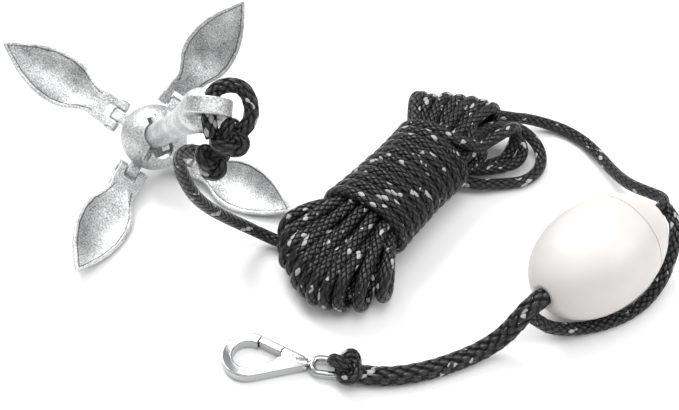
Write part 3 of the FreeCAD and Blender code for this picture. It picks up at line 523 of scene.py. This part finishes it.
def hank_route():
    """One line: in at the fan, through every loop, round the winding and out at the far end."""
    places = bundle_places()
    fan_reach = [74, 83, 90, 95, 99, 101, 102, 100, 96, 88, 76]
    far_reach = [70, 74, 77, 82, 88, 91, 94, 95, None, None, 86]  # none before an open loop
    route = hank_points((-73, 20, -12), (-62, 12, -8), (-44, 12, -3), (-10, 17, 0), (20, 20, -2),
                        (42, 26, -8), (54, 33, -13))
    for index, (aside, height) in enumerate(places):
        spread = aside * 2.25 + random.uniform(-1.5, 1.5)
        far_spread = aside * 2.1 + random.uniform(-1.5, 1.5)
        if index == 0:
            reach = far_reach[0]
            route += hank_points(
                (reach - 8, far_spread, -14), (reach, far_spread, -9), (reach + 3, far_spread, 2),
                (reach - 2, far_spread, 11), (reach - 12, far_spread * 0.9, 12))
        route += hank_points((40, aside * 1.1, height + 1), (15, aside, height),
                             (-15, aside, height), (-40, aside * 1.1, height + 1))
        reach = -fan_reach[index] + random.uniform(-1.5, 1.5)
        top = 3.0 + random.uniform(-1.5, 2.5)
        low = -18.5 + random.uniform(0, 1.5)
        outer = reach + 14
        mid = -40 + 0.45 * (outer + 40)
        route += hank_points(
            (mid, aside * 1.1 + (spread - aside) * 0.35, height * 0.8 + 1.5),
            (outer, spread * 0.86, top + 2.5), (reach + 4, spread * 0.98, top),
            (reach - 2, spread, (top + low) / 2), (reach + 4, spread, low),
            (outer, spread * 0.88, low + 0.5),
            (mid, aside + (spread - aside) * 0.4, -height * 0.8 - 5),
            (-40, aside * 1.1, -height - 1), (-15, aside, -height), (15, aside, -height),
            (40, aside * 1.1, -height - 1))
        if index == len(places) - 1:
            break
        if index in OPEN_LOOPS:
            route += OPEN_LOOPS[index]
        else:
            next_aside = places[index + 1][0]
            reach = far_reach[index + 1] + random.uniform(-1.5, 1.5)
            middle = (far_spread + next_aside * 2.1) / 2
            route += hank_points(
                (reach - 14, middle, -16), (reach - 3, middle, -13), (reach + 2, middle, -3),
                (reach - 1, middle, 9), (reach - 12, middle, 14))
    # out of the last loop and into the winding, which runs from the far end back to the fan
    route += hank_points((50, -25, -5), (55, -28, 3), (50, -26, 12), (44, -19, 17))
    turns = 10
    per_turn = 14
    start_angle = math.radians(115)
    # half a turn more, so that the line leaves the winding underneath
    for step in range(turns * per_turn + per_turn // 2 + 1):
        share = step / (turns * per_turn)
        angle = start_angle - 2 * math.pi * step / per_turn
        along = 39.0 - 78.0 * share + 1.6 * math.sin(angle + 0.6)
        half = 26.5 + 2.4 * (along / 42) ** 2 + (0.6 if along < 0 else 0)
        route += hank_points((along, half * math.cos(angle), 20.0 * math.sin(angle)))
    route += hank_points(
        (-44, 0, -19.5), (-43.5, -11, -17), (-40, -19, -10), (-30, -21.5, -3), (-12, -21.5, 0),
        (20, -21.5, 0), (44, -20, 4), (60, -14, 12), (74, -6, 12), (86, 2, 2))
    return route


def overhand(centre, size, turn):
    """A closed overhand knot's line about a centre."""
    points = []
    for step in range(24):
        t = 2 * math.pi * step / 24
        local = Vector((math.sin(t) + 2 * math.sin(2 * t), math.cos(t) - 2 * math.cos(2 * t),
                        -math.sin(3 * t) * 1.15)) * size
        points.append(tuple(centre + turn @ local))
    return points + points[:2]


def make_ropes(material):
    hank = hank_route()
    main_line = route_line("rope_main_route", LEAD + hank + RUN, 6)
    main, main_path = braided("rope_main", main_line, ROPE_DIA, material, 18, 1.25)
    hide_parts("rope_lead", "hank_fan", "hank_winding", "hank_bights",
                "hank_loose_loop", "rope_run", "rope_through_float")
    thick, thick_path = braided("rope_thick_stretch", route_line("rope_thick_route", THICK, 24),
                                THICK_DIA, material, 48, 0.6, 0.9)
    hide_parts("rope_thick")
    outside, outside_path = braided(
        "rope_round_float", route_line("rope_loop_route", FLOAT_LOOP, 24), ROPE_DIA, material,
        32, 0.6, 0.5)
    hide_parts("rope_float_loop")
    eye, eye_path = braided("rope_at_eye", route_line("rope_eye_route", EYE_LOOP, 24), ROPE_DIA,
                            material, 32, 0.6, 0.5)
    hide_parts("rope_eye_loop")
    knots = {}
    for name, node, centre, size, turn in (
            ("knot_upper", "rope_knot_upper", on_shank(19.2, 5.4, 205), 2.5, LEAN),
            ("knot_lower", "rope_knot_lower", on_shank(27, -3.4, 187), 2.45,
             Matrix.Rotation(0.9, 3, "X") @ Matrix.Rotation(0.5, 3, "Y")),
            ("knot_hook", "rope_hook_knot", Vector((131.0, -138.2, 10.6)), 2.9,
             Matrix.Rotation(0.35, 3, "Z") @ Matrix.Rotation(0.45, 3, "Y"))):
        line = route_line(name + "_route", overhand(centre, size, turn), 12)
        knots[name], _ = braided(name, line, ROPE_DIA, material, 28, 0.7, 0.4)
        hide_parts(node)
    for piece in (main, thick, outside, eye, *knots.values()):
        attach(piece, "anchor")


# ------------------------------------------------------------------ float
def make_float(material):
    """The egg's two shells as one turned skin each, with a fine groove at the seam."""
    half_length = 51.0
    half_dia = 34.0
    seam = 20.0
    around = 128

    def radius(along):
        share = along / half_length
        return half_dia * math.sqrt(max(0.0, 1 - share ** 2)) * (1 - 0.05 * along / half_length)

    limit = 49.9
    for name, node, side in (("float_shell_body", "float_body", -1),
                             ("float_shell_cap", "float_cap", 1)):
        span = (-limit, seam - 0.4) if side < 0 else (seam + 0.4, limit)
        start, stop = (math.acos(-value / half_length) for value in span)
        profile = []
        for step in range(61):
            along = -half_length * math.cos(start + (stop - start) * step / 60)
            profile.append((along, radius(along)))
        edge = [(seam + side * 0.3, radius(seam) - 0.4), (seam + side * 0.15, radius(seam) - 2.4)]
        rim = [(side * 49.2, 6.0), (side * 47.5, 5.4), (side * 44.0, 5.3)]
        profile = rim[::-1] + profile + edge if side < 0 else edge[::-1] + profile + rim
        vertices = []
        for along, r in profile:
            for turn in range(around):
                angle = 2 * math.pi * turn / around
                place = on_float(along, r * math.cos(angle), r * math.sin(angle))
                vertices.append(tuple(place * MM))
        faces = []
        for row in range(len(profile) - 1):
            for turn in range(around):
                after = (turn + 1) % around
                faces.append((row * around + turn, row * around + after,
                              (row + 1) * around + after, (row + 1) * around + turn))
        piece = new_object(name, vertices, faces, material)
        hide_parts(node)
        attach(piece, "anchor")


# ------------------------------------------------------------------ castings and hook
FLUKE_REACH = 87.0
FLUKE_OUTLINE = [(13.5, 10.0), (18.5, 9.4), (26.1, 11.7), (33.9, 15.75), (43.5, 17.5),
                 (55.7, 16.3), (68.7, 11.7), (80.0, 5.25), (FLUKE_REACH, 0.7)]
FLUKE_TURN = {1: 0.0, 3: 90.0, 4: 180.0, 2: 270.0}
FLUKE_TILT = {1: 0.0, 2: 27.0, 3: 26.5, 4: 34.0}
CROWN_TURN = 219.2
FLUKE_PIN = Vector((28.4, 0, 9.0))
RIM_WIDTH = 2.7


def fluke_frame(number):
    """The fluke's pin frame: its origin, and its length, width and face directions."""
    crown = LEAN @ Matrix.Rotation(math.radians(CROWN_TURN + FLUKE_TURN[number]), 3, "Z")
    origin = CROWN + crown @ FLUKE_PIN
    return origin, crown @ Matrix.Rotation(math.radians(-FLUKE_TILT[number]), 3, "Y")


def rim_groove_painted_shade(number):
    """A test for the narrow line between a fluke's rim and its bowl, which is painted dark as
    painted shade.
    """
    origin, turn = fluke_frame(number)
    lengths, widths = zip(*FLUKE_OUTLINE)

    def inside(places):
        local = (places / MM - np.array(origin[:])) @ np.array(turn)
        along = local[:, 0]
        half = np.interp(along, lengths, widths) - RIM_WIDTH
        gap = np.abs(np.abs(local[:, 1]) - half)
        on_face = local[:, 2] > 2.2
        in_reach = (along > 16) & (along < FLUKE_REACH - 3)
        return on_face & (gap < 0.42) & in_reach & (half > 0)
    return inside


def make_castings(material):
    softened("shank", "shank_casting", material, 0.55, 6, "anchor")
    softened("crown", "crown_casting", material, 0.55, 4, "anchor")
    softened("locking_collar", "collar_casting", material, 0.5, 4, "collar")
    for number in (1, 2, 3, 4):
        softened("fluke_%d" % number, "fluke_%d_casting" % number, material, 0.5, 3,
                 "fluke_%d" % number, rim_groove_painted_shade(number))
        softened("fluke_pin_%d" % number, "fluke_pin_%d_rivet" % number, material,
                 0.4, 3, "anchor")
    softened("crown_washer", "crown_washer_disc", material, 0.35, 2, "anchor")


def make_hook(material):
    for node, name, body, voxel in (
            ("hook_body", "hook_body_cast", "hook", 0.3),
            ("hook_gate", "hook_gate_cast", "gate", 0.25),
            ("gate_rivet", "gate_rivet_head", "hook", 0.15),
            ("swivel_eye", "swivel_eye_ring", "anchor", 0.3)):
        softened(node, name, material, voxel, 5, body)


make_stage()
galvanised = galvanised_material()
make_castings(galvanised)
make_hook(chrome_material())
white = float_material()
make_float(white)
for slot_index in range(len(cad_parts["float_bore_tube"].material_slots)):
    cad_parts["float_bore_tube"].material_slots[slot_index].material = white
make_ropes(rope_material())
